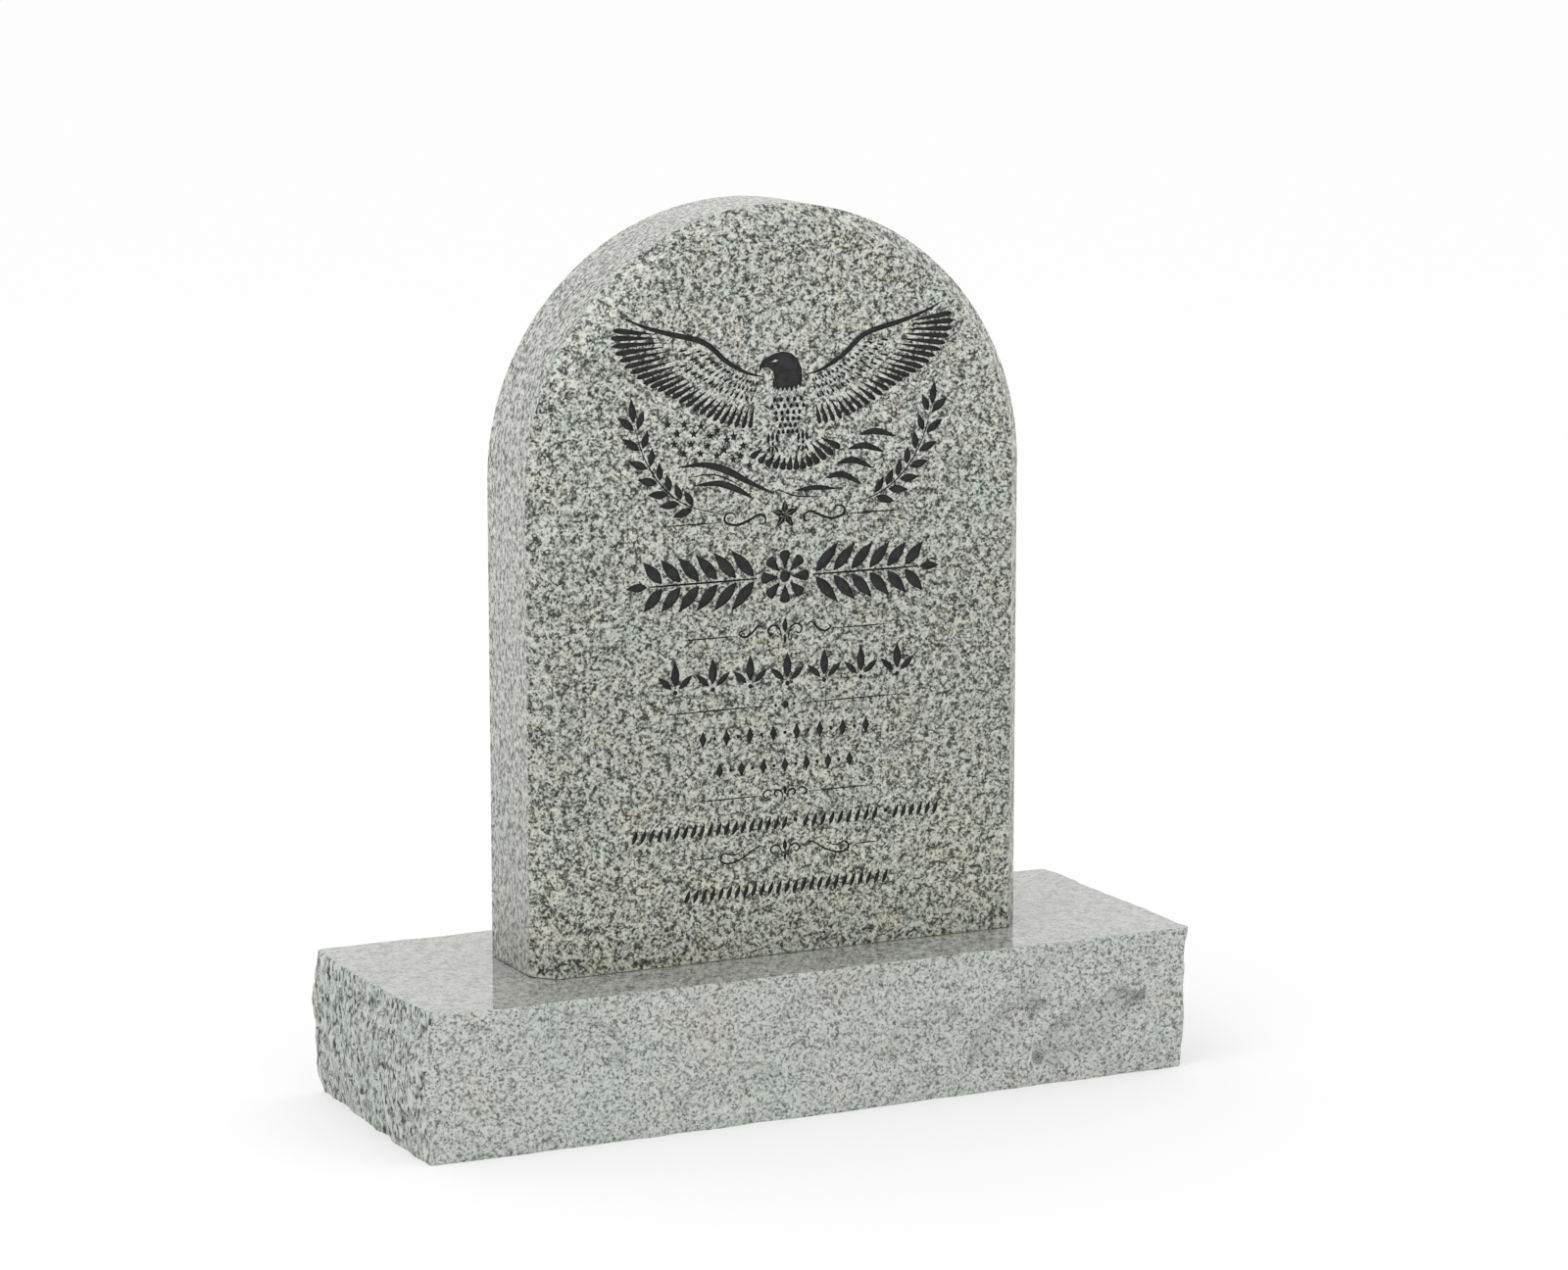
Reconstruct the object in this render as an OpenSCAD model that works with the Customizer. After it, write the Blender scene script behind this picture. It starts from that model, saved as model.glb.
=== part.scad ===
// Upright granite headstone: a round-topped, bevelled tablet with paint-filled engraving,
// bedded on a rock-pitched base with a polished top.
// Origin: middle of the base's underside. +X to the right, front face towards -Y, +Z up.

/* [Base] */
// Width of the base along its pitched top edge
base_w = 946; // [790:1:1200]
// Depth of the base, front to back
base_d = 340; // [280:1:480]
// Height of the base
base_h = 166; // [100:1:250]
// Radius of the base's upright corners
corner_r = 12; // [6:1:30]
// How far the broken faces bulge past the pitched edges
pitch_bulge = 8; // [0:0.5:12]
// Depth of the broken chips in those faces
pitch_chip = 7; // [1:0.5:14]
// Spacing of the chips
chip_pitch = 27; // [22:1:60]

/* [Tablet] */
// Width of the tablet, which is also the diameter of its round top
tablet_w = 610; // [500:1:740]
// Thickness of the tablet
tablet_t = 160; // [110:1:200]
// Height of the straight sides, up to where the round top springs
side_h = 540; // [440:1:700]
// Width of the bevel, seen from the front
bevel_w = 21; // [6:1:30]
// Depth of the bevel, front to back
bevel_d = 26; // [6:1:36]

/* [Setting bed] */
// Thickness of the bed between tablet and base
bed_t = 1; // [1:0.5:6]
// How far the bed stays inside the tablet's edge
bed_inset = 2; // [1:0.5:12]

/* [Engraving] */
// Depth of the engraving
cut_depth = 2.5; // [1.5:0.1:5]
// Thickness of the paint in the bottom of each cut
paint_t = 0.6; // [0.3:0.1:1.2]
// Clear margin between the outstretched wings and the bevel
wing_margin = 69; // [60:1:110]
// Clear margin between the lowest row and the foot of the tablet
foot_margin = 64; // [40:1:140]
// Sideways shift of the whole engraving
engraving_x = -3; // [-5:0.5:5]
// Half width of a fine line
line_hw = 0.8; // [0.4:0.1:1]

/* [Hidden] */

granite = "lightgray";
paint = [0.27, 0.27, 0.28];

// Heights of the joints between the pieces
bed_z = base_h;
tablet_z = bed_z + bed_t;
tablet_r = tablet_w / 2;
spring_z = tablet_z + side_h;

// The engraving is laid out about the spring line for wings 215 out and a lowest row 475 down
span_k = (tablet_r - bevel_w - wing_margin) / 215;
drop_k = (side_h - foot_margin) / 475;
art_k = min(span_k, drop_k);

// ---------- curves and outlines ----------

// Point between p1 and p2 on a smooth curve through four points
function blend(p0, p1, p2, p3, t) =
    0.5 * (2 * p1 + (p2 - p0) * t + (2 * p0 - 5 * p1 + 4 * p2 - p3) * t * t
        + (3 * p1 - p0 - 3 * p2 + p3) * t * t * t);

// Smooth curve through the points P, with n steps between each pair
function curve(P, n = 4) = [
    for (i = [0 : len(P) - 2])
        for (k = [0 : n - 1])
            blend(P[max(i - 1, 0)], P[i], P[i + 1], P[min(i + 2, len(P) - 1)], k / n),
    P[len(P) - 1]
];

function unit(v) = v / norm(v);
function left_of(v) = [-v[1], v[0]];
function side_dir(P, i) = left_of(unit(P[min(i + 1, len(P) - 1)] - P[max(i - 1, 0)]));

// Half width of a stroke at the share u of its length, from e at its ends to w in the middle
function half_w(u, w, e) = e + (w - e) * sin(180 * u);

// Outline of a stroke along the points P
function stroke(P, w, e) = concat(
    [for (i = [0 : len(P) - 1]) P[i] + side_dir(P, i) * half_w(i / (len(P) - 1), w, e)],
    [for (i = [len(P) - 1 : -1 : 0]) P[i] - side_dir(P, i) * half_w(i / (len(P) - 1), w, e)]
);

// Point at the share u of the way along a list of points
function along(P, u) =
    let (s = min(max(u, 0), 0.9999) * (len(P) - 1), i = floor(s))
        P[i] + (P[i + 1] - P[i]) * (s - i);

module brush(P, w, e = 0.25) {
    polygon(stroke(P, w, e));
}

// Outlines of a pointed leaf, a blunt feather and a small barb: [share of length, share of half width]
leaf_form = [[0.04, 0.2], [0.14, 0.56], [0.28, 0.9], [0.44, 1], [0.6, 0.88], [0.77, 0.54], [0.91, 0.2]];
feather_form = [[0.02, 0.12], [0.3, 0.48], [0.58, 0.82], [0.8, 1], [0.92, 0.82], [0.98, 0.42]];
barb_form = [[0.3, 0.75], [0.72, 1]];

// Blade of such an outline from root a to tip b, w wide
module blade(a, b, w, form = leaf_form) {
    d = b - a;
    s = left_of(unit(d)) * w / 2;
    polygon(concat(
        [a],
        [for (p = form) a + d * p[0] + s * p[1]],
        [b],
        [for (i = [len(form) - 1 : -1 : 0]) a + d * form[i][0] - s * form[i][1]]
    ));
}

// The same, of a length and a direction
module blade_at(a, len, ang, w, form = leaf_form) {
    blade(a, a + len * [cos(ang), sin(ang)], w, form);
}

module star_2d(p, r, turn = 90) {
    polygon([for (k = [0 : 9]) p + (k % 2 == 0 ? r : r * 0.43) * [cos(turn + 36 * k), sin(turn + 36 * k)]]);
}

module dot_2d(p, r) {
    translate(p) circle(r = r, $fn = 10);
}

module lozenge(p, hw, hh) {
    polygon([p + [hw, 0], p + [0, hh], p - [hw, 0], p - [0, hh]]);
}

module rule_2d(x0, x1, z) {
    brush([[x0, z], [x0 + (x1 - x0) * 0.3, z], [x0 + (x1 - x0) * 0.7, z], [x1, z]], line_hw, 0.3);
}

module both_sides() {
    children();
    mirror([1, 0]) children();
}

// ---------- eagle ----------

wing_edge = [[26, 116.5], [46, 121.5], [72, 136], [99, 158], [143, 170], [172, 179], [196, 190]];
wing_hem = [
    [205, 185], [211, 170], [208, 154], [199, 140], [187, 128], [173, 117], [158, 109], [142, 101],
    [127, 92], [112, 83], [97, 75], [82, 68], [66, 63], [50, 60], [35, 60]
];
wing_quills = 25;

// Share of the leading edge that the quill at the share u springs from
function wing_share(u) = 0.66 - 0.64 * pow(u, 0.82);
function wing_point(u, f) =
    let (r = along(wing_edge, wing_share(u)), t = along(wing_hem, u))
        r + (t - r) * f;

module wing_edge_2d() {
    brush(curve(wing_edge), 3.2, 0.3);
}

module wing_quills_2d() {
    for (i = [1 : wing_quills - 1]) {
        u = i / wing_quills;
        blade(wing_point(u, 0.34 + 0.26 * min(2 * u, 1)), wing_point(u, 1), 6.4 - 0.8 * u, feather_form);
    }
}

module wing_coverts_2d() {
    // Each row: its first share along the wing, then where its barbs start and end
    for (row = [[0.34, 0.38, 0.5], [0.22, 0.23, 0.33], [0.26, 0.1, 0.18]]) {
        for (u = [row[0] : 0.045 : 0.96]) {
            blade(wing_point(u, row[1]), wing_point(u, row[2]), 2.6, barb_form);
        }
    }
}

module eagle_head_2d() {
    difference() {
        polygon([
            [-12, 142], [-2, 143.5], [8, 141], [16, 134], [21, 123], [21.5, 112], [19, 102.5],
            [16.5, 106], [13.5, 99.5], [11, 104.5], [8, 98.5], [5.5, 104], [2.5, 98], [0, 103.5],
            [-3, 98.5], [-5.5, 104], [-8.5, 99.5], [-11, 105], [-14, 102], [-15.5, 109],
            [-13.5, 116], [-15, 121.5], [-19, 125.5], [-24, 127], [-28, 126], [-31.5, 121],
            [-31.5, 129], [-27, 136], [-20, 139]
        ]);
        polygon([[-17, 132.5], [-12, 132], [-7.5, 133.5], [-11.5, 135]]);
    }
}

module eagle_breast_2d() {
    for (r = [0 : 5]) {
        n = 5 - floor(r / 3) + (r % 2);
        for (i = [0 : n - 1]) {
            blade_at([3.5 + (i - (n - 1) / 2) * (8.2 - 0.5 * r), 93 - 7.2 * r], 6.2, 270, 4.6, barb_form);
        }
    }
}

module eagle_legs_2d() {
    for (x = [-15, 22]) {
        for (i = [-1 : 1]) {
            blade_at([x + 4.6 * i, 55 - 2 * abs(i)], 11, 270 + 6 * i, 4.1, barb_form);
            blade_at([x + 3 * i, 38], 8.5, 270 + 30 * i, 3.1);
        }
        brush([[x, 43], [x, 41], [x, 39]], 1.6, 1.2);
    }
}

module eagle_tail_2d() {
    for (i = [0 : 12]) {
        ang = 213 + i * 119 / 12;
        r = 52 + 0.0034 * pow(ang - 272.5, 2);
        c = [12, 62];
        e = [cos(ang), sin(ang)];
        blade(c + e * (r - (ang > 303 ? 27 : i % 3 == 1 ? 14 : 17)), c + e * r, 8, feather_form);
    }
}

// ---------- laurels, stars and stripes ----------

laurel_stem = curve([[-80, -33], [-113, -24], [-136, -11], [-156, 9], [-173, 38], [-183, 72]], 3);

module laurel_2d() {
    brush(laurel_stem, line_hw, 0.4);
    for (i = [0 : 6]) {
        u = 0.2 + 0.76 * i / 6;
        p = along(laurel_stem, u);
        d = along(laurel_stem, u + 0.02) - along(laurel_stem, u - 0.02);
        ang = atan2(d[1], d[0]);
        n = left_of(unit(d));
        blade_at(p + n * 2.2, 25, ang + 37, 9.6);
        blade_at(p - n * 2.2, 21, ang - 37, 8.6);
    }
    blade([-184, 74], [-187, 101], 9);
}

module star_field_2d() {
    for (r = [0 : 3]) {
        for (c = [0 : 4]) {
            star_2d([-143 + 20 * c + 7.5 * (r % 2) + 4 * r, 70 - 11.2 * r - 1.1 * c * c], 5.5);
        }
    }
}

module stripes_left_2d() {
    brush(curve([[-131, 21.5], [-100, 23], [-72, 15], [-46, 1], [-13, -15]], 3), 4.2);
    brush(curve([[-112, 0], [-82, 1], [-58, -7.5], [-39, -18.5]], 3), 3.9);
    brush(curve([[-119, 9.5], [-90, 11.5], [-68, 4], [-54, -4.5]], 3), 0.9);
}

module stripes_right_2d() {
    for (i = [0 : 3]) {
        a = [92 - 14 * i, 45 - 15.4 * i];
        brush(curve([a, a + [21, 3], a + [46, -4 - 2 * i]], 4), 3.8);
    }
    brush(curve([[12, -13], [38, -11], [63, -14]], 4), 3);
    brush(curve([[-6, -11.5], [14, -19], [46, -22]], 4), 0.9);
}

// ---------- centre star and its scrolls ----------

module centre_star_2d() {
    c = [0, -39];
    for (k = [0 : 9]) {
        a = c + (k % 2 == 0 ? 19.5 : 8) * [cos(90 + 36 * k), sin(90 + 36 * k)];
        b = c + (k % 2 == 0 ? 8 : 19.5) * [cos(126 + 36 * k), sin(126 + 36 * k)];
        m = (a + b + c) / 3;
        f = k % 2 == 0 ? 0.93 : 0.84;
        polygon([m + (a - m) * f, m + (b - m) * f, m + (c - m) * f]);
    }
}

module centre_scroll_2d() {
    brush(curve([
        [60, -38], [65, -33], [73, -35], [73, -43], [59, -47], [43, -42], [32, -37], [24, -41], [26, -48], [32, -46]
    ], 4), 1.5, 0.5);
}

// ---------- garland, rows and dividers ----------

module rosette_2d(c, r0, r1, w, n) {
    for (k = [0 : n - 1]) {
        e = [cos(90 + 360 * k / n), sin(90 + 360 * k / n)];
        blade(c + e * r0, c + e * r1, w, feather_form);
    }
    dot_2d(c, r0 - 2.5);
}

module garland_2d() {
    z = -109;
    brush([[34, z], [80, z], [130, z], [166, z]], 1.2, 0.8);
    for (i = [0 : 5]) {
        x = 38 + 22.5 * i;
        blade_at([x, z + 2.6], 43 - 1.6 * i, 48, 13.5);
        blade_at([x, z - 2.6], 43 - 1.6 * i, -48, 13.5);
    }
    blade([169, z], [194, z], 10);
}

module fleur_2d(z, k) {
    blade([0, z - 1 * k], [0, z + 16 * k], 6.5 * k);
    blade([0, z - 4 * k], [0, z - 15 * k], 4 * k);
    both_sides()
        brush(curve([
            [4 * k, z - 8 * k], [7 * k, z + 4 * k], [15 * k, z + 8 * k], [21 * k, z + 3 * k],
            [18 * k, z - 3 * k], [13 * k, z - 1 * k]
        ], 3), 1.2, 0.5);
}

module fleur_divider_upper_2d() {
    z = -171;
    fleur_2d(z, 1);
    both_sides() {
        brush(curve([[26, z + 4], [33, z + 9], [41, z + 1], [50, z - 3], [57, z + 1], [53, z + 5]], 3), 1.3, 0.5);
        rule_2d(62, 128, z - 1);
    }
}

module bud_row_2d() {
    for (i = [-3 : 3]) {
        c = [46 * i + 3, -230];
        blade_at(c + [0, 6], 30, 90, 10.5);
        blade_at(c + [4.5, 4], 23, 42, 7.5);
        blade_at(c + [-4.5, 4], 23, 138, 7.5);
        dot_2d(c, 2.8);
    }
}

module diamond_divider_2d() {
    lozenge([0, -254], 5.5, 5);
    both_sides() {
        dot_2d([11.5, -254], 1.8);
        rule_2d(19, 146, -254);
    }
}

// Row of n lozenges with beads between them
module bead_row_2d(z, n, pitch, hh) {
    for (i = [0 : n - 1]) {
        lozenge([(i - (n - 1) / 2) * pitch, z], 4.6, hh);
    }
    for (i = [0 : n - 2]) {
        dot_2d([(i - (n - 2) / 2) * pitch, z], 2.1);
    }
}

module fleur_divider_middle_2d() {
    z = -356;
    fleur_2d(z, 0.62);
    both_sides() {
        brush(curve([[16, z + 3], [21, z + 6], [27, z + 2], [25, z - 3], [20, z - 1]], 3), 1.1, 0.4);
        rule_2d(30, 108, z);
    }
}

// Run of slanting leaves from x0 to x1
module sprig_2d(x0, x1, z) {
    n = round((x1 - x0) / 10.5);
    step = (x1 - x0) / n;
    for (i = [0 : n - 1]) {
        blade_at([x0 + step * (i + 0.5) - 3.2, z - 8.5], 18, 69, 5.4);
    }
}

module sprig_row_wide_2d() {
    sprig_2d(-190, 5, -389);
    sprig_2d(21, 119, -389);
    sprig_2d(135, 196, -389);
}

module sprig_dots_2d() {
    dot_2d([13, -387], 2.6);
    dot_2d([127, -387], 2.6);
}

module scroll_divider_lower_2d() {
    z = -421;
    fleur_2d(z, 0.85);
    both_sides() {
        brush(curve([
            [22, z + 4], [34, z + 7], [50, z - 3], [68, z - 9], [80, z - 5], [76, z + 3], [64, z], [52, z + 4]
        ], 4), 1.2, 0.4);
        rule_2d(88, 118, z - 1);
    }
}

// ---------- placing on the tablet's front face ----------

// Extrudes an outline from d0 to d1 behind the front face
module behind_face(d0, d1) {
    translate([engraving_x, d1 - tablet_t / 2, spring_z])
        rotate([90, 0, 0])
            linear_extrude(height = d1 - d0)
                scale([art_k, art_k])
                    children();
}

module fill() {
    color(paint) behind_face(cut_depth - paint_t, cut_depth) children();
}

module engraving_2d() {
    eagle_head_2d();
    eagle_breast_2d();
    eagle_legs_2d();
    eagle_tail_2d();
    both_sides() {
        wing_edge_2d();
        wing_coverts_2d();
        wing_quills_2d();
        laurel_2d();
        centre_scroll_2d();
        rule_2d(76, 152, -43);
        garland_2d();
    }
    star_field_2d();
    stripes_left_2d();
    stripes_right_2d();
    centre_star_2d();
    rosette_2d([0, -109], 9, 30, 13, 8);
    fleur_divider_upper_2d();
    bud_row_2d();
    diamond_divider_2d();
    bead_row_2d(-286, 8, 29, 10);
    bead_row_2d(-323, 7, 27, 9);
    fleur_divider_middle_2d();
    sprig_row_wide_2d();
    sprig_dots_2d();
    scroll_divider_lower_2d();
    sprig_2d(-126, 132, -463);
}

// ---------- stone pieces ----------

// Half of the tablet's level section, from its middle to its right edge
tablet_section = [
    [0, -tablet_t / 2], [tablet_r - bevel_w, -tablet_t / 2], [tablet_r, bevel_d - tablet_t / 2],
    [tablet_r, tablet_t / 2 - bevel_d], [tablet_r - bevel_w, tablet_t / 2], [0, tablet_t / 2]
];

module tablet() {
    color(granite)
        difference() {
            union() {
                translate([0, 0, spring_z])
                    rotate([90, 0, 0])
                        rotate_extrude(angle = 180, $fn = 180) polygon(tablet_section);
                translate([0, 0, tablet_z])
                    linear_extrude(height = side_h)
                        polygon(concat(
                            [for (i = [1 : 4]) tablet_section[i]],
                            [for (i = [4 : -1 : 1]) [-tablet_section[i][0], tablet_section[i][1]]]
                        ));
            }
            behind_face(-1, cut_depth) engraving_2d();
        }
}

module setting_bed() {
    w = tablet_w - 2 * bed_inset;
    d = tablet_t - 2 * bed_inset;
    color("gray")
        translate([0, 0, bed_z])
            linear_extrude(height = bed_t)
                polygon([
                    [bevel_w - w / 2, -d / 2], [w / 2 - bevel_w, -d / 2], [w / 2, bevel_d - d / 2],
                    [w / 2, d / 2 - bevel_d], [w / 2 - bevel_w, d / 2], [bevel_w - w / 2, d / 2],
                    [-w / 2, d / 2 - bevel_d], [-w / 2, bevel_d - d / 2]
                ]);
}

// Repeatable scatter from 0 to 1 for a pair of whole numbers
function scatter(i, j) = let (f = sin(i * 127.1 + j * 311.7) * 437.585) f - floor(f);

// Level outline of the base: points round the block, with their outward directions
nx = max(round((base_w - 2 * corner_r) / chip_pitch), 4);
ny = max(round((base_d - 2 * corner_r) / chip_pitch), 3);
hx = base_w / 2 - corner_r;
hy = base_d / 2 - corner_r;
base_ring = [
    for (i = [0 : nx - 1]) [[-hx + 2 * hx * i / nx, -hy - corner_r], [0, -1]],
    for (a = [270, 300, 330]) [[hx, -hy] + corner_r * [cos(a), sin(a)], [cos(a), sin(a)]],
    for (i = [0 : ny - 1]) [[hx + corner_r, -hy + 2 * hy * i / ny], [1, 0]],
    for (a = [0, 30, 60]) [[hx, hy] + corner_r * [cos(a), sin(a)], [cos(a), sin(a)]],
    for (i = [0 : nx - 1]) [[hx - 2 * hx * i / nx, hy + corner_r], [0, 1]],
    for (a = [90, 120, 150]) [[-hx, hy] + corner_r * [cos(a), sin(a)], [cos(a), sin(a)]],
    for (i = [0 : ny - 1]) [[-hx - corner_r, hy - 2 * hy * i / ny], [-1, 0]],
    for (a = [180, 210, 240]) [[-hx, -hy] + corner_r * [cos(a), sin(a)], [cos(a), sin(a)]]
];
base_rows = [0, 0.1, 0.24, 0.4, 0.56, 0.72, 0.86, 0.95, 1];

// Outward reach of the broken face at ring point i and row j
function reach(i, j) =
    let (h = base_rows[j], chip = scatter(i, j))
        j == 0 ? -0.5 * pitch_chip * chip
        : j == len(base_rows) - 1 ? -0.25 * pitch_chip * chip
        : pitch_bulge * sin(180 * h) - pitch_chip * chip * (0.35 + 0.65 * sin(180 * h));

module base_block() {
    n = len(base_ring);
    m = len(base_rows);
    rough = [
        for (j = [0 : m - 1])
            for (i = [0 : n - 1])
                let (p = base_ring[i][0] + base_ring[i][1] * reach(i, j))
                    [p[0], p[1], base_h * base_rows[j]]
    ];
    xs = [for (p = rough) p[0]];
    ys = [for (p = rough) p[1]];
    middle = [(max(xs) + min(xs)) / 2, (max(ys) + min(ys)) / 2, 0];
    pts = [for (p = rough) p - middle];
    color(granite)
        polyhedron(points = pts, faces = concat(
            [[for (i = [0 : n - 1]) i]],
            [[for (i = [n - 1 : -1 : 0]) (m - 1) * n + i]],
            [for (j = [0 : m - 2]) for (i = [0 : n - 1])
                [j * n + i, (j + 1) * n + i, (j + 1) * n + (i + 1) % n]],
            [for (j = [0 : m - 2]) for (i = [0 : n - 1])
                [j * n + i, (j + 1) * n + (i + 1) % n, j * n + (i + 1) % n]]
        ));
}

// ---------- paint fills ----------

module eagle_head() { fill() eagle_head_2d(); }
module eagle_breast() { fill() eagle_breast_2d(); }
module eagle_legs() { fill() eagle_legs_2d(); }
module eagle_tail() { fill() eagle_tail_2d(); }
module wing_edge_left() { fill() mirror([1, 0]) wing_edge_2d(); }
module wing_edge_right() { fill() wing_edge_2d(); }
module wing_coverts_left() { fill() mirror([1, 0]) wing_coverts_2d(); }
module wing_coverts_right() { fill() wing_coverts_2d(); }
module wing_quills_left() { fill() mirror([1, 0]) wing_quills_2d(); }
module wing_quills_right() { fill() wing_quills_2d(); }
module laurel_left() { fill() laurel_2d(); }
module laurel_right() { fill() mirror([1, 0]) laurel_2d(); }
module star_field() { fill() star_field_2d(); }
module wave_stripes_left() { fill() stripes_left_2d(); }
module wave_stripes_right() { fill() stripes_right_2d(); }
module centre_star() { fill() centre_star_2d(); }
module centre_scrolls() { fill() both_sides() centre_scroll_2d(); }
module centre_rules() { fill() both_sides() rule_2d(76, 152, -43); }
module garland_rosette() { fill() rosette_2d([0, -109], 9, 30, 13, 8); }
module garland_left() { fill() mirror([1, 0]) garland_2d(); }
module garland_right() { fill() garland_2d(); }
module fleur_divider_upper() { fill() fleur_divider_upper_2d(); }
module bud_row() { fill() bud_row_2d(); }
module diamond_divider() { fill() diamond_divider_2d(); }
module bead_row_upper() { fill() bead_row_2d(-286, 8, 29, 10); }
module bead_row_lower() { fill() bead_row_2d(-323, 7, 27, 9); }
module fleur_divider_middle() { fill() fleur_divider_middle_2d(); }
module sprig_row_wide() { fill() sprig_row_wide_2d(); }
module sprig_dots() { fill() sprig_dots_2d(); }
module scroll_divider_lower() { fill() scroll_divider_lower_2d(); }
module sprig_row_narrow() { fill() sprig_2d(-126, 132, -463); }

base_block();
setting_bed();
tablet();
eagle_head();
eagle_breast();
eagle_legs();
eagle_tail();
wing_edge_left();
wing_edge_right();
wing_coverts_left();
wing_coverts_right();
wing_quills_left();
wing_quills_right();
laurel_left();
laurel_right();
star_field();
wave_stripes_left();
wave_stripes_right();
centre_star();
centre_scrolls();
centre_rules();
garland_rosette();
garland_left();
garland_right();
fleur_divider_upper();
bud_row();
diamond_divider();
bead_row_upper();
bead_row_lower();
fleur_divider_middle();
sprig_row_wide();
sprig_dots();
scroll_divider_lower();
sprig_row_narrow();
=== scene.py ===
import bpy, bmesh, math
from mathutils import Vector, Matrix, noise


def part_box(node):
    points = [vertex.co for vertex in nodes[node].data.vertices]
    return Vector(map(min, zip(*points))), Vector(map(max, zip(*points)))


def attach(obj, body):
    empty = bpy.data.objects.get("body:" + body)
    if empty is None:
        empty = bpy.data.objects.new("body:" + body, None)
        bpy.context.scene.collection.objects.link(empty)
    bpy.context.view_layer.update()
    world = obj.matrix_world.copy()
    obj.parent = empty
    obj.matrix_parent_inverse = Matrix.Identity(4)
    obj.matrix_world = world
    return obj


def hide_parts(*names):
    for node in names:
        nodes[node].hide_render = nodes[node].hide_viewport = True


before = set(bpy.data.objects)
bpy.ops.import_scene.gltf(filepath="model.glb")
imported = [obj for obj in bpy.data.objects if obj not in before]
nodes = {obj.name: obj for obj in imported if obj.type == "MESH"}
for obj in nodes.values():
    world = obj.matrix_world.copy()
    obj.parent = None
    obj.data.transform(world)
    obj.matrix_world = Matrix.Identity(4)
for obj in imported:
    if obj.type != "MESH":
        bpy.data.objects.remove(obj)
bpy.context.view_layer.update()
scene = bpy.context.scene
scene.view_settings.view_transform = "Standard"

baseLow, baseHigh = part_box("base_block")
stoneLow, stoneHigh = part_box("tablet")
print("frame loaded, stone", [round(v, 4) for v in stoneHigh - stoneLow])


# camera and studio

studio = {
    "turn": 25.97, "tilt": 10.068,      # degrees to the stone's left, and downwards
    "distance": 5.396, "aim": (0.0348, 0, 0.5161),
    "sensor": 36, "lens": 109.04, "farClip": 200,
    "skyStrength": 1.05,
    "floorHalf": 60, "floorTone": 0.65, "floorGlow": 0.302, "floorRoughness": 0.9,
    "keyPower": 24, "keySize": 2.2, "keyPlace": (-2.2, -0.8, 4.0), "keyAim": (0, 0, 0.4),
}


def lookAlong(turn, tilt):
    t, p = math.radians(turn), math.radians(tilt)
    return Vector((math.sin(t) * math.cos(p), math.cos(t) * math.cos(p), -math.sin(p)))


def makeCamera(s):
    camera = bpy.data.objects.new("camera", bpy.data.cameras.new("camera"))
    scene.collection.objects.link(camera)
    camera.data.sensor_width = s["sensor"]
    camera.data.lens = s["lens"]
    camera.data.clip_end = s["farClip"]
    camera.location = Vector(s["aim"]) - lookAlong(s["turn"], s["tilt"]) * s["distance"]
    camera.rotation_euler = (math.radians(90 - s["tilt"]), 0, math.radians(-s["turn"]))
    scene.camera = camera


def areaLight(name, place, aim, size, power):
    lamp = bpy.data.objects.new(name, bpy.data.lights.new(name, "AREA"))
    scene.collection.objects.link(lamp)
    lamp.data.shape = "DISK"
    lamp.data.size = size
    lamp.data.energy = power
    lamp.location = place
    lamp.rotation_euler = (Vector(aim) - Vector(place)).to_track_quat("-Z", "Y").to_euler()


def makeSky(s):
    world = bpy.data.worlds.new("paleSky")
    world.use_nodes = True
    sky = world.node_tree.nodes["Background"]
    sky.inputs["Color"].default_value = (1, 1, 1, 1)
    sky.inputs["Strength"].default_value = s["skyStrength"]
    scene.world = world


def makeFloor(s):
    bm = bmesh.new()
    bmesh.ops.create_grid(bm, x_segments=1, y_segments=1, size=s["floorHalf"])
    mesh = bpy.data.meshes.new("floor")
    bm.to_mesh(mesh)
    bm.free()
    floor = bpy.data.objects.new("floor", mesh)
    scene.collection.objects.link(floor)
    paper = bpy.data.materials.new("paleFloor")
    paper.use_nodes = True
    skin = paper.node_tree.nodes["Principled BSDF"]
    tone = s["floorTone"]
    skin.inputs["Base Color"].default_value = (tone, tone, tone, 1)
    skin.inputs["Emission Color"].default_value = (1, 1, 1, 1)      # keeps the contact shadow pale
    skin.inputs["Emission Strength"].default_value = s["floorGlow"]
    skin.inputs["Roughness"].default_value = s["floorRoughness"]
    skin.inputs["Specular IOR Level"].default_value = 0.0
    mesh.materials.append(paper)


makeCamera(studio)
makeSky(studio)
makeFloor(studio)
areaLight("keyPanel", studio["keyPlace"], studio["keyAim"], studio["keySize"], studio["keyPower"])
print("camera and studio ready")


# stone finishes

mixSockets = {"factor": 0, "first": 2, "second": 3, "firstColour": 6, "secondColour": 7,
              "mixed": 0, "mixedColour": 2}


def wire(tree, fromSocket, toSocket):
    tree.links.new(fromSocket, toSocket)


def newMaterial(name):
    material = bpy.data.materials.new(name)
    material.use_nodes = True
    tree = material.node_tree
    place = tree.nodes.new("ShaderNodeTexCoord").outputs["Object"]
    return material, tree, tree.nodes["Principled BSDF"], place


def addNoise(tree, place, scale, detail, roughness=0.5):
    node = tree.nodes.new("ShaderNodeTexNoise")
    node.inputs["Scale"].default_value = scale
    node.inputs["Detail"].default_value = detail
    node.inputs["Roughness"].default_value = roughness
    wire(tree, place, node.inputs["Vector"])
    return node.outputs["Fac"]


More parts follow.
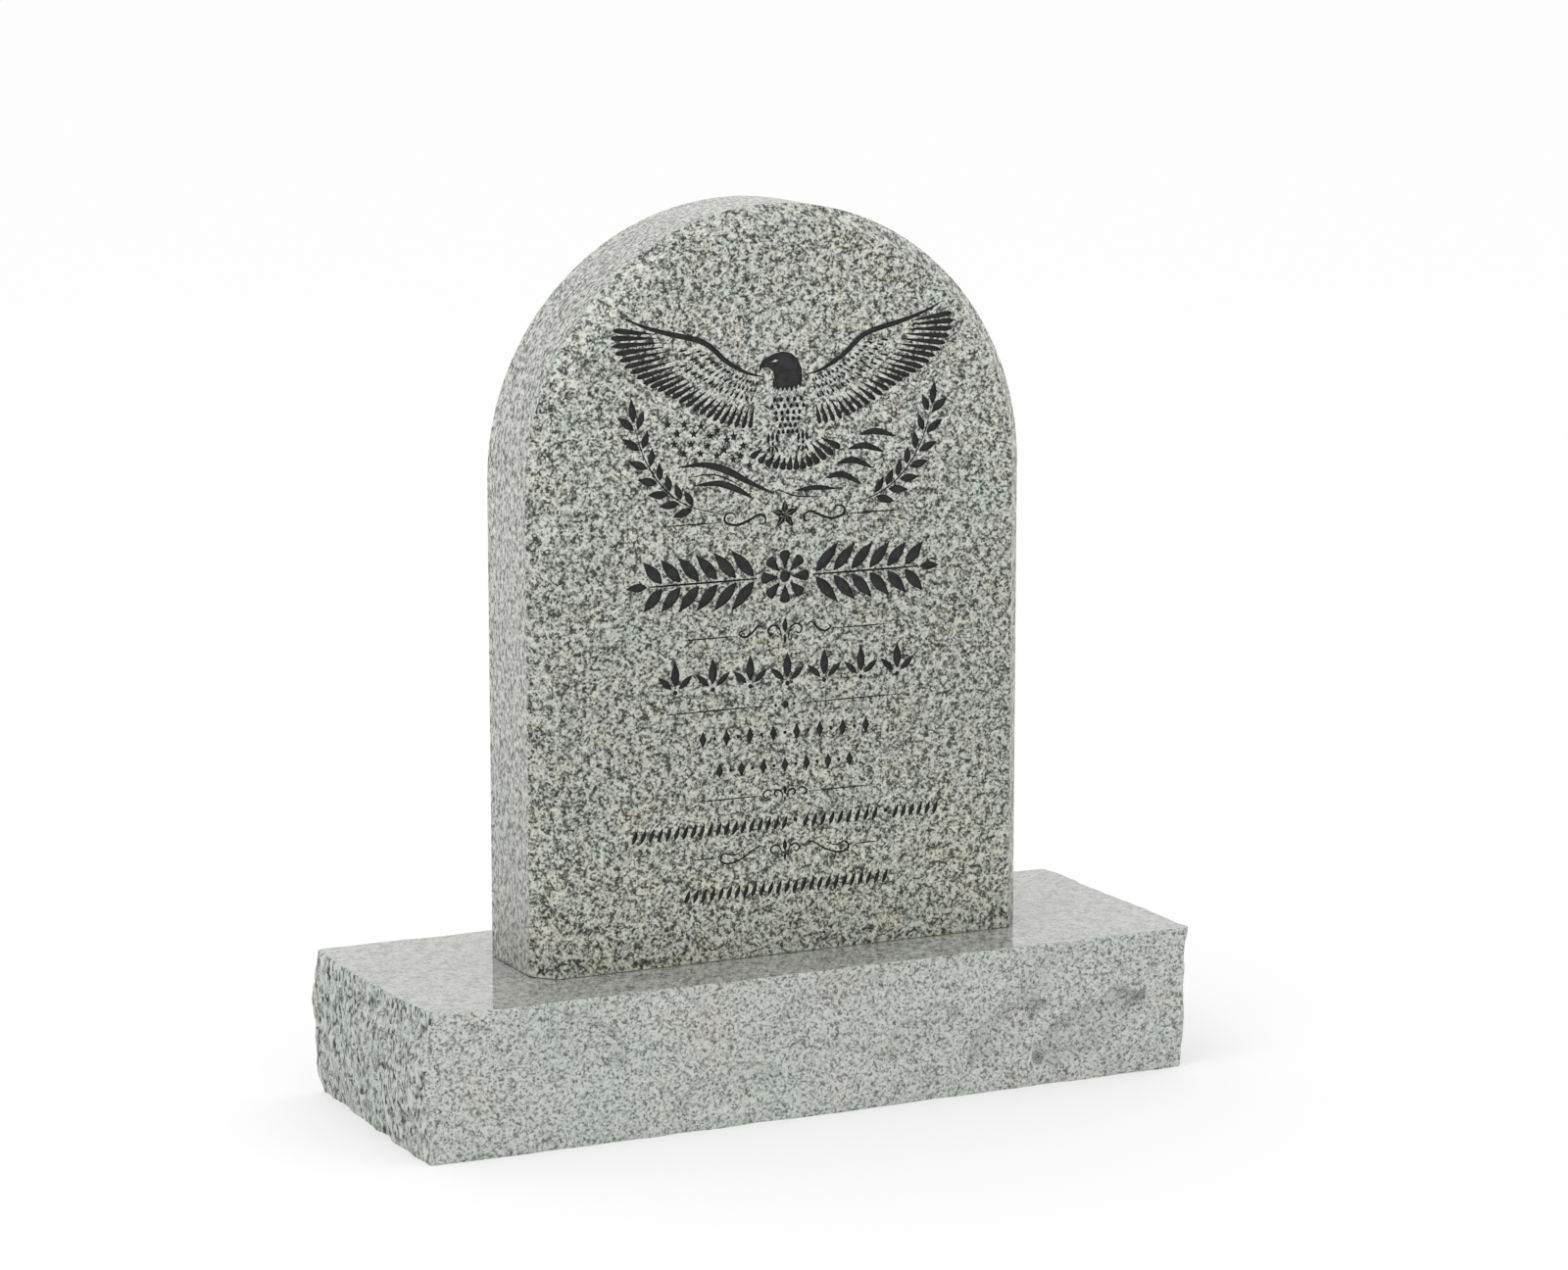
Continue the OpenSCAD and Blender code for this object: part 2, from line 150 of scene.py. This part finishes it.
def addBump(tree, skin, height, strength, distance):
    node = tree.nodes.new("ShaderNodeBump")
    node.inputs["Strength"].default_value = strength
    node.inputs["Distance"].default_value = distance
    wire(tree, height, node.inputs["Height"])
    wire(tree, node.outputs["Normal"], skin.inputs["Normal"])


def ramp(tree, source, stops):
    node = tree.nodes.new("ShaderNodeValToRGB")
    wire(tree, source, node.inputs["Fac"])
    band = node.color_ramp.elements
    while len(band) < len(stops):
        band.new(0.5)
    for element, (place, colour) in zip(band, stops):
        element.position = place
        element.color = (*colour, 1)
    return node.outputs["Color"]


def multiplyColours(tree, first, second):
    node = tree.nodes.new("ShaderNodeMix")
    node.data_type = "RGBA"
    node.blend_type = "MULTIPLY"
    node.inputs[mixSockets["factor"]].default_value = 1.0
    wire(tree, first, node.inputs[mixSockets["firstColour"]])
    wire(tree, second, node.inputs[mixSockets["secondColour"]])
    return node.outputs[mixSockets["mixedColour"]]


def crystals(tree, place, g):
    mottle = addNoise(tree, place, g["mottle"], 5.0, g["crisp"])
    grain = tree.nodes.new("ShaderNodeTexVoronoi")
    grain.inputs["Scale"].default_value = g["grain"]
    wire(tree, place, grain.inputs["Vector"])
    split = tree.nodes.new("ShaderNodeSeparateColor")
    wire(tree, grain.outputs["Color"], split.inputs["Color"])
    blend = tree.nodes.new("ShaderNodeMix")
    blend.inputs[mixSockets["factor"]].default_value = g["crystalShare"]
    wire(tree, mottle, blend.inputs[mixSockets["first"]])
    wire(tree, split.outputs["Red"], blend.inputs[mixSockets["second"]])
    return blend.outputs[mixSockets["mixed"]]


def graniteMaterial(name, g):
    stone, tree, skin, place = newMaterial(name)
    if g["drawn"]:
        turned = tree.nodes.new("ShaderNodeMapping")
        turned.inputs["Rotation"].default_value = (math.radians(g["lean"]), 0, 0)
        turned.inputs["Scale"].default_value = (1, 1, g["drawn"])
        wire(tree, place, turned.inputs["Vector"])
        place = turned.outputs["Vector"]
    colour = ramp(tree, crystals(tree, place, g), g["tones"])
    tint = ramp(tree, addNoise(tree, place, g["cloud"], 2.0), g["tints"])
    colour = multiplyColours(tree, colour, tint)
    # painted shade and light: the colour is multiplied by a ramp over height, darker low down and
    # lighter high up
    if g["paintedShadeAndLightByHeight"]:
        axes = tree.nodes.new("ShaderNodeSeparateXYZ")
        wire(tree, place, axes.inputs["Vector"])
        colour = multiplyColours(tree, colour, ramp(tree, axes.outputs["Z"], g["paintedShadeAndLightByHeight"]))
    wire(tree, colour, skin.inputs["Base Color"])
    skin.inputs["Roughness"].default_value = g["roughness"]
    skin.inputs["IOR"].default_value = g["ior"]
    if g["bump"]:
        pits = addNoise(tree, place, g["pit"], 3.0, 0.6)
        addBump(tree, skin, pits, g["bumpStrength"], g["bump"])
    return stone


# mottle, grain, cloud and pit are texture scales, smaller for larger marks
polishedGranite = {
    "mottle": 112, "crisp": 0.78, "grain": 420, "crystalShare": 0.18, "cloud": 30,
    "drawn": 0, "lean": 0,      # stretch of the grain along z, and its lean in degrees
    "tones": [(0.38, (0.01, 0.012, 0.01)), (0.44, (0.07, 0.076, 0.067)),
              (0.485, (0.26, 0.27, 0.245)), (0.53, (0.46, 0.47, 0.435)),
              (0.64, (0.66, 0.665, 0.63))],
    "tints": [(0.3, (0.94, 1.0, 0.97)), (0.5, (1.0, 1.0, 1.0)), (0.7, (1.03, 1.0, 0.92))],
    # painted shade and light: tone darkened over the lower part and lifted towards the top, by
    # height in metres, times drawn where that isn't 0
    "paintedShadeAndLightByHeight": [(0.24, (0.95, 0.945, 0.885)), (0.42, (0.86, 0.865, 0.84)),
               (0.58, (0.88, 0.885, 0.87)), (0.76, (1.0, 1.0, 1.0))],
    "roughness": 0.42, "ior": 1.5,
    "bump": 0, "pit": 0, "bumpStrength": 0,
}
sawnGranite = dict(
    polishedGranite, mottle=190, grain=460, cloud=9, drawn=0.6, roughness=0.3,
    tones=[(0.38, (0.03, 0.033, 0.03)), (0.445, (0.13, 0.135, 0.125)),
           (0.49, (0.34, 0.345, 0.325)), (0.55, (0.52, 0.52, 0.50)),
           (0.68, (0.63, 0.63, 0.615))],
    tints=[(0.3, (0.98, 1.0, 0.99)), (0.7, (1.02, 1.0, 0.98))],
    # painted light and shade: the sides darker at the foot and lighter towards the top of the arc
    paintedShadeAndLightByHeight=[(0.18, (0.9, 0.905, 0.89)), (0.45, (1.0, 1.0, 1.0)),
            (0.85, (1.05, 1.05, 1.05)), (0.99, (1.22, 1.22, 1.24))],
)
polishedTopGranite = dict(
    polishedGranite, crystalShare=0.15, cloud=9, paintedShadeAndLightByHeight=[], roughness=0.05, ior=1.9,
    tones=[(0.38, (0.135, 0.14, 0.125)), (0.5, (0.35, 0.355, 0.335)),
           (0.64, (0.475, 0.48, 0.46))],
    tints=[(0.3, (0.98, 1.0, 1.0)), (0.7, (1.02, 1.0, 0.97))],
)
pitchedGranite = dict(
    polishedGranite, mottle=205, crisp=0.82, grain=420, cloud=11, paintedShadeAndLightByHeight=[], roughness=0.6,
    tones=[(0.36, (0.09, 0.10, 0.09)), (0.43, (0.22, 0.236, 0.216)),
           (0.49, (0.42, 0.442, 0.412)), (0.55, (0.52, 0.542, 0.51)),
           (0.7, (0.60, 0.615, 0.59))],
    tints=[(0.3, (0.97, 1.0, 0.98)), (0.55, (1.0, 1.0, 1.0)), (0.72, (1.05, 0.98, 0.99))],
    bump=0.0024, pit=150, bumpStrength=0.75,
)
splitGranite = dict(
    pitchedGranite, mottle=150, crisp=0.78, drawn=0.38, lean=-17,
    tones=[(0.38, (0.025, 0.03, 0.025)), (0.445, (0.16, 0.175, 0.158)),
           (0.495, (0.38, 0.405, 0.375)), (0.56, (0.52, 0.55, 0.515)),
           (0.7, (0.60, 0.62, 0.59))],
    bump=0.0045, pit=105, bumpStrength=0.9,
)

tabletGranite = graniteMaterial("polishedGranite", polishedGranite)
edgeGranite = graniteMaterial("sawnGranite", sawnGranite)
topGranite = graniteMaterial("polishedTopGranite", polishedTopGranite)
pitchGranite = graniteMaterial("pitchedGranite", pitchedGranite)
endGranite = graniteMaterial("splitGranite", splitGranite)


# paint fills and setting bed

engravingPaint = {
    "speck": 160, "tones": [(0.35, (0.02, 0.02, 0.0215)), (0.65, (0.036, 0.036, 0.038))],
    "roughness": 0.75, "specular": 0.2, "bump": 0.0004, "bumpStrength": 0.3,
}
settingCompound = {
    "speck": 260, "tones": [(0.3, (0.28, 0.28, 0.265)), (0.7, (0.38, 0.38, 0.365))],
    "roughness": 0.85, "specular": 0.5, "bump": 0, "bumpStrength": 0,
}


def speckledMaterial(name, f):
    material, tree, skin, place = newMaterial(name)
    speck = addNoise(tree, place, f["speck"], 3.0)
    wire(tree, ramp(tree, speck, f["tones"]), skin.inputs["Base Color"])
    skin.inputs["Roughness"].default_value = f["roughness"]
    skin.inputs["Specular IOR Level"].default_value = f["specular"]
    if f["bump"]:
        addBump(tree, skin, speck, f["bumpStrength"], f["bump"])
    return material


def dress(name, material):
    mesh = nodes[name].data
    mesh.materials.clear()
    mesh.materials.append(material)


paint = speckledMaterial("engravingPaint", engravingPaint)
paintNodes = [n for n in nodes if n not in ("base_block", "tablet", "setting_bed")]
for name in paintNodes:
    dress(name, paint)
dress("setting_bed", speckledMaterial("settingCompound", settingCompound))
dress("tablet", tabletGranite)
dress("base_block", pitchGranite)
print("finishes ready,", len(paintNodes), "paint fills")


# helpers for the two stones

facing = {"flat": 0.999, "cap": 0.9, "side": 0.3, "end": 0.75}     # share of a normal on one axis


def pieceFrom(name, bm, *materials):
    mesh = bpy.data.meshes.new(name)
    bm.to_mesh(mesh)
    bm.free()
    piece = bpy.data.objects.new(name, mesh)
    scene.collection.objects.link(piece)
    for material in materials:
        mesh.materials.append(material)
    return piece


def applyModifiers(piece):
    bpy.context.view_layer.update()
    solid = piece.evaluated_get(bpy.context.evaluated_depsgraph_get())
    mesh = bpy.data.meshes.new_from_object(solid)
    piece.modifiers.clear()
    piece.data = mesh


# tablet

tabletSettings = {
    "bevelWide": 0.021, "bevelDeep": 0.026,
    "arris": 0.0012, "arrisSteps": 3, "arrisFrom": 15,      # eased where faces meet past this angle
    "topSteps": 256,
    "cutDepth": 0.0025, "fillShare": 0.88,      # depth of the cuts, and where in it the fills lie
    "cutterReach": 0.004,
    "tile": 0.041,
    "hair": 0.0001,
}


def outlineFace(bm, radius, spring, front, t):
    bmesh.ops.create_circle(bm, cap_ends=False, segments=t["topSteps"] * 2, radius=radius)
    upright = Matrix.Rotation(math.radians(90), 3, "X")
    bmesh.ops.rotate(bm, verts=bm.verts, cent=(0, 0, 0), matrix=upright)
    bmesh.ops.translate(bm, verts=bm.verts, vec=(0, front, spring))
    below = [v for v in bm.verts if v.co.z < spring - t["hair"] / 10]
    bmesh.ops.delete(bm, geom=below, context="VERTS")
    ends = sorted((v for v in bm.verts if len(v.link_edges) == 1), key=lambda v: v.co.x)
    feet = [bm.verts.new((e.co.x, front, stoneLow.z)) for e in ends]
    for end, foot in zip(ends, feet):
        bm.edges.new((end, foot))
    bm.edges.new(feet)
    return bmesh.ops.contextual_create(bm, geom=bm.edges[:])["faces"][0]


def tileFront(bm, t):
    # a net of seams across the front keeps the engraved face in small polygons
    spans = (((1, 0, 0), stoneLow.x, stoneHigh.x), ((0, 0, 1), stoneLow.z, stoneHigh.z))
    for across, low, high in spans:
        for k in range(1, int((high - low) / t["tile"]) + 1):
            place = low + k * t["tile"]
            front = [f for f in bm.faces if f.normal.y < -facing["flat"]]
            parts = {*front, *(e for f in front for e in f.edges),
                     *(v for f in front for v in f.verts)}
            bmesh.ops.bisect_plane(bm, geom=list(parts), plane_co=(place, 0, place),
                                   plane_no=across)


def tabletBody(t):
    low, high = stoneLow, stoneHigh
    radius = (high.x - low.x) / 2
    front, back = low.y + t["bevelDeep"], high.y - t["bevelDeep"]
    bm = bmesh.new()
    face = outlineFace(bm, radius, high.z - radius, front, t)
    grown = bmesh.ops.extrude_face_region(bm, geom=[face])
    moved = [v for v in grown["geom"] if isinstance(v, bmesh.types.BMVert)]
    bmesh.ops.translate(bm, verts=moved, vec=(0, back - front, 0))
    bmesh.ops.recalc_face_normals(bm, faces=bm.faces)
    for cap in [f for f in bm.faces if abs(f.normal.y) > facing["cap"]]:
        bmesh.ops.inset_region(bm, faces=[cap], thickness=t["bevelWide"], depth=t["bevelDeep"],
                               use_even_offset=True)
        for v in cap.verts:
            if v.co.z < low.z + t["bevelWide"] * 1.5:       # no bevel along the foot
                v.co.z = low.z
    sharp = [e for e in bm.edges if e.calc_face_angle(0) > math.radians(t["arrisFrom"])
             and not all(v.co.z < low.z + t["hair"] for v in e.verts)]
    bmesh.ops.bevel(bm, geom=sharp, offset=t["arris"], offset_type="OFFSET",
                    segments=t["arrisSteps"], profile=0.5, affect="EDGES", material=-1)
    bmesh.ops.recalc_face_normals(bm, faces=bm.faces)
    tileFront(bm, t)
    for f in bm.faces:
        f.material_index = 1 if abs(f.normal.y) < facing["side"] else 0
    return pieceFrom("tablet_stone", bm, tabletGranite, edgeGranite, paint)


def engravingCutter(t):
    # the paint fills, drawn out from the floor of the cuts to in front of the face
    face, floorOfCut = stoneLow.y, stoneLow.y + t["cutDepth"]
    middle = face + t["cutDepth"] * t["fillShare"]
    bm = bmesh.new()
    for name in paintNodes:
        part = bmesh.new()
        part.from_mesh(nodes[name].data)
        bmesh.ops.remove_doubles(part, verts=part.verts, dist=1e-6)
        for v in part.verts:
            v.co.y = floorOfCut if v.co.y > middle else face - t["cutterReach"]
        mesh = bpy.data.meshes.new("cut")
        part.to_mesh(mesh)
        part.free()
        bm.from_mesh(mesh)
        bpy.data.meshes.remove(mesh)
    for f in bm.faces:
        f.material_index = 0
    return pieceFrom("cutter", bm, paint)


tablet = tabletBody(tabletSettings)
cutter = engravingCutter(tabletSettings)
cut = tablet.modifiers.new("engrave", "BOOLEAN")
cut.operation = "DIFFERENCE"
cut.solver = "MANIFOLD"
cut.object = cutter
cut.material_mode = "TRANSFER"
applyModifiers(tablet)
bpy.data.objects.remove(cutter)
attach(tablet, "root")
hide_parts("tablet")
print("tablet cut,", len(tablet.data.polygons), "faces", [m.name for m in tablet.data.materials])


# rock-pitched base

baseSettings = {
    "width": 0.950, "depth": 0.343,
    "corner": 0.010, "cornerSteps": 4,
    "step": 0.0031,
    # inward and down, from the wall to the top
    "arris": [(0, 0.0015), (0.0008, 0.0005), (0.0024, 0)],
    "arrisNick": 0.9, "nickScale": 38,
    "calmTop": 0.012, "calmShare": 0.75,        # less relief this near the top arris
    "endBulge": 0.0062, "farEndLean": 0.0048, "leanShare": 0.4,
    "footTuck": 0.003, "footShare": 0.1,
    "wornCorner": 0.015, "wornReach": 0.105, "wornFrom": 0.3,
    # relief all round: scale of the noise, and its height
    "lumps": (6.5, 0.0036), "lumpShift": (3.1, 0, 1.7), "knobs": (17, 0.0034),
    "grit": (60, 0.0006),
    "chipScale": (17, 17, 22), "chipSharp": 1.5, "chipDepth": 0.0042,
    # flutes on the ends: scale of the noise, lean, half width in the noise, depth
    "wideCracks": ((20, 34, 7), 0.3, 0.1, 0.0045),
    "fineCracks": ((30, 85, 13), 0.34, 0.09, 0.0028),
    "fluteDepth": 0.004, "farEndShare": 0.85, "crackTop": 0.025, "crackFoot": 0.02,
    # wavering of the top edge: scale, height at the back and far end, height elsewhere
    "waver": (13, 0.0045, 0.002), "waverFrom": 0.75, "waverSlice": 4.2, "waverEnd": 0.45,
    # hollows struck from the front: x, z, half width, half height, turn in degrees, depth
    "spalls": [(0.345, 0.058, 0.085, 0.034, 24, 0.0165), (0.240, 0.066, 0.066, 0.026, 30, 0.0110),
               (0.300, 0.125, 0.050, 0.030, 35, 0.0060), (0.130, 0.075, 0.060, 0.030, 25, 0.0080),
               (-0.110, 0.040, 0.070, 0.028, 12, 0.0065),
               (-0.290, 0.110, 0.060, 0.035, -30, 0.0060),
               (0.010, 0.130, 0.070, 0.026, 15, 0.0050)],
    "spallGrain": (45, 90), "spallWobble": 0.28,
    "spallSteep": 6, "spallSoft": 1.4,      # crisp above, fading below
    "backSpread": (1.07, 1.05),     # the same hollows at the back, mirrored and spread by this
}


def ease(t):
    t = max(0.0, min(1.0, t))
    return t * t * (3 - 2 * t)


def spallDepth(x, z, spall, b):
    cx, cz, wide, tall, turn, depth = spall
    c, s = math.cos(math.radians(turn)), math.sin(math.radians(turn))
    u = ((x - cx) * c + (z - cz) * s) / wide
    v = ((z - cz) * c - (x - cx) * s) / tall
    fine, apart = b["spallGrain"]
    wobble = b["spallWobble"] * noise.noise(Vector((x * fine, z * fine, cx * apart)))
    rim = 1 - math.hypot(u, v) + wobble
    return depth * ease(rim * (b["spallSteep"] if v > 0 else b["spallSoft"]))


def crackNoise(p, crack):
    (sx, sy, sz), lean, width, depth = crack
    wave = noise.noise(Vector((p.x * sx, (p.y - lean * p.z) * sy, p.z * sz)))
    return wave, math.exp(-(wave / width) ** 2) * depth


def brokenFace(p, b):
    lumps = noise.noise(p * b["lumps"][0] + Vector(b["lumpShift"])) * b["lumps"][1]
    lumps += noise.noise(p * b["knobs"][0]) * b["knobs"][1]
    cells = noise.voronoi(p * Vector(b["chipScale"]))[0]
    chips = -b["chipDepth"] * max(0.0, 1 - cells[0] * b["chipSharp"])
    grit = noise.fractal(p * b["grit"][0], 0.9, 2.1, 3) * b["grit"][1]
    return lumps + chips + grit


def rockReach(p, out, high, b):
    # how far the broken face stands out from the plain block at this point
    h = min(max(p.z / high, 0), 1)
    endness = abs(out.x) ** 2
    leftEnd = endness if p.x < 0 else 0.0
    wave, wideCrack = crackNoise(p, b["wideCracks"])
    fineCrack = crackNoise(p, b["fineCracks"])[1]
    inward = ease((high - p.z) / b["crackTop"]) * ease(p.z / b["crackFoot"])
    flutes = (wideCrack + fineCrack) * inward + abs(wave) * b["fluteDepth"]
    ridges = -flutes * (leftEnd + b["farEndShare"] * (endness - leftEnd))
    shape = b["endBulge"] * math.sin(math.pi * h) * leftEnd
    if p.x > 0:
        shape -= b["farEndLean"] * ease((1 - h) / b["leanShare"]) * endness
    farther, higher = b["backSpread"]
    struck = sum(spallDepth(p.x, p.z, spall, b) for spall in b["spalls"]) * max(0.0, -out.y)
    struck += sum(spallDepth(-p.x * farther, p.z * higher, spall, b)
                  for spall in b["spalls"]) * max(0.0, out.y)
    reach = brokenFace(p, b) + ridges + shape - struck
    scale, roughHeight, plainHeight = b["waver"]
    waver = noise.noise(Vector((p.x * scale, p.y * scale, b["waverSlice"])))
    waver *= roughHeight if out.y > 0.5 or p.x > b["waverEnd"] else plainHeight
    waver *= ease((h - b["waverFrom"]) / (1 - b["waverFrom"]))
    return reach + waver - b["footTuck"] * max(0, b["footShare"] - h) / b["footShare"]


def wornShift(p, high, b):
    # the worn front left corner, moved in along both sides
    toCorner = math.hypot(p.x + b["width"] / 2, p.y + b["depth"] / 2)
    worn = b["wornCorner"] * ease(1 - toCorner / b["wornReach"])
    worn *= ease((p.z / high - b["wornFrom"]) / (1 - b["wornFrom"]))
    return Vector((worn, worn, 0)) * 0.7


def clampTo(value, low, high):
    return max(low, min(high, value))


def blockRows(bm, high, b):
    # a flat outline drawn up in rows, and the last rows returned as the top arris
    bmesh.ops.create_grid(bm, x_segments=1, y_segments=1, size=0.5)
    bmesh.ops.scale(bm, vec=(b["width"], b["depth"], 1), verts=bm.verts)
    bmesh.ops.bevel(bm, geom=bm.verts[:], offset=b["corner"], offset_type="OFFSET",
                    segments=b["cornerSteps"], profile=0.5, affect="VERTICES", material=-1)
    for edge in [e for e in bm.edges if e.calc_length() > 0.05]:
        cuts = round(edge.calc_length() / b["step"])
        bmesh.ops.subdivide_edges(bm, edges=[edge], cuts=cuts)
    ring = [e for e in bm.edges if e.is_boundary]
    rows = round(high / b["step"])
    rims = []
    for k in range(rows + len(b["arris"]) - 1):
        grown = bmesh.ops.extrude_edge_only(bm, edges=ring)["geom"]
        verts = [v for v in grown if isinstance(v, bmesh.types.BMVert)]
        ring = [e for e in grown if isinstance(e, bmesh.types.BMEdge)]
        if k < rows:
            bmesh.ops.translate(bm, verts=verts, vec=(0, 0, high / rows))
        if k >= rows - 1:
            rims.append(set(verts))
    top = bmesh.ops.contextual_create(bm, geom=ring)["faces"][0]
    return top, rims


def baseBody(b):
    high = baseHigh.z
    hx, hy = b["width"] / 2 - b["corner"], b["depth"] / 2 - b["corner"]
    bm = bmesh.new()
    top, rims = blockRows(bm, high, b)
    for v in bm.verts:
        out = Vector((v.co.x - clampTo(v.co.x, -hx, hx), v.co.y - clampTo(v.co.y, -hy, hy), 0))
        out = out.normalized()
        calm = b["calmShare"] + (1 - b["calmShare"]) * ease((high - v.co.z) / b["calmTop"])
        spot = v.co + out * rockReach(v.co, out, high, b) * calm + wornShift(v.co, high, b)
        nick = 1 + b["arrisNick"] * noise.noise(v.co * b["nickScale"])
        for rim, (inward, down) in zip(rims, b["arris"]):
            if v in rim:
                spot += Vector((-out.x * inward, -out.y * inward, -down)) * nick
        v.co = (clampTo(spot.x, baseLow.x, baseHigh.x), clampTo(spot.y, baseLow.y, baseHigh.y),
                spot.z)
    bmesh.ops.recalc_face_normals(bm, faces=bm.faces)
    for f in bm.faces:
        f.smooth = len(f.verts) < 10        # all but the top and the foot
        f.material_index = 1 if f is top else 2 if abs(f.normal.x) > facing["end"] else 0
    return pieceFrom("base_stone", bm, pitchGranite, topGranite, endGranite)


base = baseBody(baseSettings)
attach(base, "root")
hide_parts("base_block")
print("base pitched,", len(base.data.polygons), "faces")
